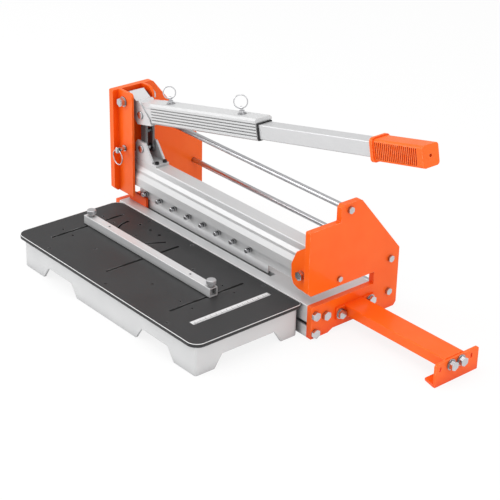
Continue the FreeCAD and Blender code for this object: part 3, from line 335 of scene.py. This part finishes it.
zincSheet = {
    "color": (0.78, 0.78, 0.785), "second": (0.70, 0.70, 0.71), "stain": (0.55, 0.55, 0.56),
    "wornAndHighlight": (0.95, 0.95, 0.95), "metal": 0.35, "rough": 0.36, "roughSpan": 0.08,
    "across": 260.0, "along": 220.0, "depth": 0.00003, "tarnish": 0.2,
    "reach": 0.02, "paintedShadeStrength": 0.7,
}
darkSteel = dict(zincSheet, color=(0.17, 0.175, 0.18), second=(0.12, 0.125, 0.13), stain=(0.08, 0.08, 0.085),
                 wornAndHighlight=(0.75, 0.75, 0.76), metal=0.6, wearAndHighlight=0.9, rough=0.3)
darkScrew = {
    "color": (0.030, 0.030, 0.032), "second": (0.020, 0.020, 0.022), "stain": (0.012, 0.012, 0.012),
    "wornAndHighlight": (0.20, 0.20, 0.21), "metal": 0.5, "rough": 0.36, "roughSpan": 0.06,
    "across": 700.0, "along": 300.0, "depth": 0.00003, "paintedShade": (0.004, 0.004, 0.004),
}
rulerMetal = dict(
    extrudedAluminium, color=(0.82, 0.82, 0.825), second=(0.72, 0.72, 0.725), across=1200.0, along=200.0,
    rough=0.40, metal=0.25)
knobMetal = dict(
    zincSheet, color=(0.56, 0.56, 0.57), second=(0.46, 0.46, 0.47), metal=0.7, rough=0.30, reach=0.003,
    paintedShadeStrength=0.9, paintedShade=(0.05, 0.05, 0.05))

finishes = {
    "orange_paint": skinMaterial("orangePaint", orangePaint),
    "zinc_sheet": metalMaterial("zincSheet", zincSheet),
    "dark_steel": metalMaterial("darkSteel", darkSteel),
    "extruded_aluminium": metalMaterial("extrudedAluminium", extrudedAluminium),
    "tube_aluminium": metalMaterial("tubeAluminium", tubeAluminium),
    "blade_steel": metalMaterial("bladeSteel", bladeSteel),
    "bright_screws": metalMaterial("screwSteel", screwSteel),
    "ring_wire": metalMaterial("ringWire", dict(screwSteel, rough=0.16)),
    "black_screws": metalMaterial("darkScrew", darkScrew),
    "rod_steel": metalMaterial("rodSteel", rodSteel),
    "body_plastic": skinMaterial("bodyPlastic", bodyPlastic),
    "board_plastic": skinMaterial("boardPlastic", boardPlastic),
    "black_plastic": skinMaterial("blackPlastic", dict(blackPlastic, dust=0.0)),
    "ruler_metal": metalMaterial("rulerMetal", rulerMetal),
    "grip_plastic": skinMaterial("gripPlastic", gripPlastic),
    "knob_metal": metalMaterial("knobMetal", knobMetal),
}
sleeveFinish = metalMaterial("sleeveAluminium", sleeveAluminium)

for entry in frame["record"]["subparts"]:
    piece = nodes[entry["node"]]
    finish = finishes[entry["material_slot"]]
    if entry["node"] == "handle_sleeve":
        finish = sleeveFinish
    if not piece.material_slots:
        piece.data.materials.append(finish)
    for slot in piece.material_slots:
        slot.material = finish
print("finishes placed")


# centimetre and millimetre lines on the ruler strip
rulerMarks = {
    "long": 0.0062, "half": 0.0045, "short": 0.0028, "width": 0.00035, "boldShare": 1.4, "fineShare": 0.8,
    "step": 0.001, "margin": 0.0004, "lift": 0.00004, "thick": 0.0002,
}


def buildRulerMarks(look):
    low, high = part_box("ruler_strip")
    mesh = bpy.data.meshes.new("rulerMarks")
    build = bmesh.new()
    edge = high[0] - look["margin"]
    count = int((high[1] - low[1]) * 1000) - 2  # whole millimetres, one kept free at each end
    for k in range(count + 1):
        length = look["long"] if k % 10 == 0 else look["half"] if k % 5 == 0 else look["short"]
        y = high[1] - look["step"] - k * look["step"]
        z = high[2] + look["lift"]
        half = look["width"] / 2 * (look["boldShare"] if k % 10 == 0 else look["fineShare"])
        corners = [(edge - length, y - half), (edge, y - half), (edge, y + half), (edge - length, y + half)]
        ring = [build.verts.new((a, b, z)) for a, b in corners]
        under = [build.verts.new((a, b, z - look["thick"])) for a, b in corners]
        build.faces.new(ring)
        build.faces.new(list(reversed(under)))
        for j in range(4):
            build.faces.new((ring[j], under[j], under[(j + 1) % 4], ring[(j + 1) % 4]))
    bmesh.ops.recalc_face_normals(build, faces=build.faces)
    build.to_mesh(mesh)
    build.free()
    piece = bpy.data.objects.new("rulerMarks", mesh)
    bpy.context.scene.collection.objects.link(piece)
    mesh.materials.append(skinMaterial("markInk", dict(blackPlastic, wearAndHighlight=0.0, dust=0.0)))
    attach(piece, "frame")


buildRulerMarks(rulerMarks)
print("ruler marks built")


# painted highlight: a thin bright tube, shaped like a rolled bead, runs round the board's top edge and stands
# for the light line the edge catches
paintedBoardHighlight = {
    "inset": 0.00066, "drop": 0.00066, "radius": 0.00056, "corner": 0.0173, "hingeCorner": 0.0083,
    "steps": 10, "roundness": 3,
}


def buildPaintedBoardHighlight(look):
    low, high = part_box("table_board")
    inset = look["inset"]
    z = high[2] - look["drop"]
    x0, x1, y0, y1 = low[0] + inset, high[0] - inset, low[1] + inset, high[1] - inset
    corners = [(x0, y0, 180.0, look["corner"]), (x1, y0, 270.0, look["corner"]),
               (x1, y1, 0.0, look["hingeCorner"]), (x0, y1, 90.0, look["corner"])]
    path = []
    for x, y, first, radius in corners:
        centreX = x + radius if x == x0 else x - radius
        centreY = y + radius if y == y0 else y - radius
        for k in range(look["steps"] + 1):
            turn = math.radians(first + 90.0 * k / look["steps"])
            path.append((centreX + radius * math.cos(turn), centreY + radius * math.sin(turn)))
    curve = bpy.data.curves.new("paintedBoardHighlight", "CURVE")
    curve.dimensions = "3D"
    curve.bevel_depth = look["radius"]
    curve.bevel_resolution = look["roundness"]
    spline = curve.splines.new("POLY")
    spline.points.add(len(path) - 1)
    for point, (x, y) in zip(spline.points, path):
        point.co = (x, y, z, 1.0)
    spline.use_cyclic_u = True
    holder = bpy.data.objects.new("paintedBoardHighlightCurve", curve)
    bpy.context.scene.collection.objects.link(holder)
    bpy.context.view_layer.update()
    mesh = bpy.data.meshes.new_from_object(holder.evaluated_get(bpy.context.evaluated_depsgraph_get()))
    bpy.data.objects.remove(holder)
    piece = bpy.data.objects.new("paintedBoardHighlight", mesh)
    bpy.context.scene.collection.objects.link(piece)
    mesh.materials.clear()
    # painted highlight: the tube gets a bright metal colour
    mesh.materials.append(metalMaterial("paintedBoardHighlightMaterial", dict(rulerMetal, color=(0.80, 0.80, 0.80), paintedShadeStrength=0.0)))
    for face in mesh.polygons:
        face.use_smooth = True
    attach(piece, "frame")


buildPaintedBoardHighlight(paintedBoardHighlight)
print("painted board highlight built")


stand = {
    "reach": 6.0, "drop": 0.0002, "color": (0.97, 0.97, 0.97), "rough": 0.6, "specular": 0.1,
    "whiteShare": 0.86,
}


def buildFloor(look):
    mesh = bpy.data.meshes.new("floorSheet")
    size = look["reach"]
    corners = [(-size, -size, 0), (size, -size, 0), (size, size, 0), (-size, size, 0)]
    mesh.from_pydata(corners, [], [(0, 1, 2, 3)])
    sheet = bpy.data.objects.new("floorSheet", mesh)
    sheet.location.z = -look["drop"]
    bpy.context.scene.collection.objects.link(sheet)
    material = bpy.data.materials.new("floorWhite")
    material.use_nodes = True
    tree = material.node_tree
    surface = tree.nodes["Principled BSDF"]
    surface.inputs["Base Color"].default_value = (*look["color"], 1.0)
    surface.inputs["Roughness"].default_value = look["rough"]
    surface.inputs["Specular IOR Level"].default_value = look["specular"]
    glow = addNode(tree, "ShaderNodeEmission", (0, -300))
    rays = addNode(tree, "ShaderNodeLightPath", (-600, 300))
    seen = maths(tree, (-300, 300), "MAXIMUM", rays.outputs["Is Camera Ray"], rays.outputs["Is Glossy Ray"])
    share = maths(tree, (-100, 300), "MULTIPLY", seen, look["whiteShare"])
    mixed = addNode(tree, "ShaderNodeMixShader", (300, 0))
    join(tree, share, mixed.inputs["Fac"])
    join(tree, surface.outputs["BSDF"], mixed.inputs[1])
    join(tree, glow.outputs["Emission"], mixed.inputs[2])
    join(tree, mixed.outputs["Shader"], tree.nodes["Material Output"].inputs["Surface"])
    mesh.materials.append(material)


buildFloor(stand)


room = {"fill": 0.68, "tint": (1.0, 1.0, 1.0), "seenStrength": 1.0}


def buildWorld(look):
    world = bpy.data.worlds.new("studio")
    bpy.context.scene.world = world
    world.use_nodes = True
    tree = world.node_tree
    dim = tree.nodes["Background"]
    dim.inputs["Color"].default_value = (*look["tint"], 1.0)
    dim.inputs["Strength"].default_value = look["fill"]
    white = addNode(tree, "ShaderNodeBackground", (0, -200))
    white.inputs["Color"].default_value = (*look["tint"], 1.0)
    white.inputs["Strength"].default_value = look["seenStrength"]
    rays = addNode(tree, "ShaderNodeLightPath", (-600, 300))
    seen = maths(tree, (-300, 300), "MAXIMUM", rays.outputs["Is Camera Ray"],
                 rays.outputs["Is Transmission Ray"])
    mixed = addNode(tree, "ShaderNodeMixShader", (300, 0))
    join(tree, seen, mixed.inputs["Fac"])
    join(tree, dim.outputs["Background"], mixed.inputs[1])
    join(tree, white.outputs["Background"], mixed.inputs[2])
    join(tree, mixed.outputs["Shader"], tree.nodes["World Output"].inputs["Surface"])


buildWorld(room)


lamps = [
    {"name": "softTop", "at": (0.1, -0.4, 2.2), "aim": (0.1, 0.0, 0.0), "size": (2.2, 1.8), "power": 22.0},
    {"name": "softLeft", "at": (-1.6, -1.7, 1.3), "aim": (0.0, 0.0, 0.1), "size": (1.6, 1.4), "power": 21.0},
    {"name": "softRight", "at": (2.2, -0.5, 1.1), "aim": (0.1, 0.0, 0.1), "size": (1.2, 1.2), "power": 9.0},
]


def buildLamp(look):
    lamp = bpy.data.lights.new(look["name"], "AREA")
    lamp.shape = "RECTANGLE"
    lamp.size, lamp.size_y = look["size"]
    lamp.energy = look["power"]
    holder = bpy.data.objects.new(look["name"], lamp)
    holder.location = look["at"]
    holder.rotation_euler = (Vector(look["aim"]) - Vector(look["at"])).to_track_quat("-Z", "Y").to_euler()
    bpy.context.scene.collection.objects.link(holder)


for look in lamps:
    buildLamp(look)


cameraSet = {
    "at": (1.6369, -1.3246, 1.0905), "turn": 49.20955, "rise": 26.5140, "roll": 1.25649,
    "lens": 105.94, "sensor": 36.0, "farClip": 50.0,
}


def buildCamera(look):
    turn, rise, roll = (math.radians(look[key]) for key in ("turn", "rise", "roll"))
    back = Vector((math.sin(turn) * math.cos(rise), -math.cos(turn) * math.cos(rise), math.sin(rise)))
    levelRight = Vector((math.cos(turn), math.sin(turn), 0.0))
    levelUp = back.cross(levelRight)
    right = math.cos(roll) * levelRight + math.sin(roll) * levelUp
    up = -math.sin(roll) * levelRight + math.cos(roll) * levelUp
    camera = bpy.data.cameras.new("mainCamera")
    camera.lens = look["lens"]
    camera.sensor_width = look["sensor"]
    camera.clip_end = look["farClip"]
    holder = bpy.data.objects.new("mainCamera", camera)
    holder.matrix_world = Matrix((right, up, back)).transposed().to_4x4()
    holder.location = look["at"]
    bpy.context.scene.collection.objects.link(holder)
    bpy.context.scene.camera = holder


buildCamera(cameraSet)
bpy.context.scene.view_settings.view_transform = "Standard"
print("stage, lamps and camera set")
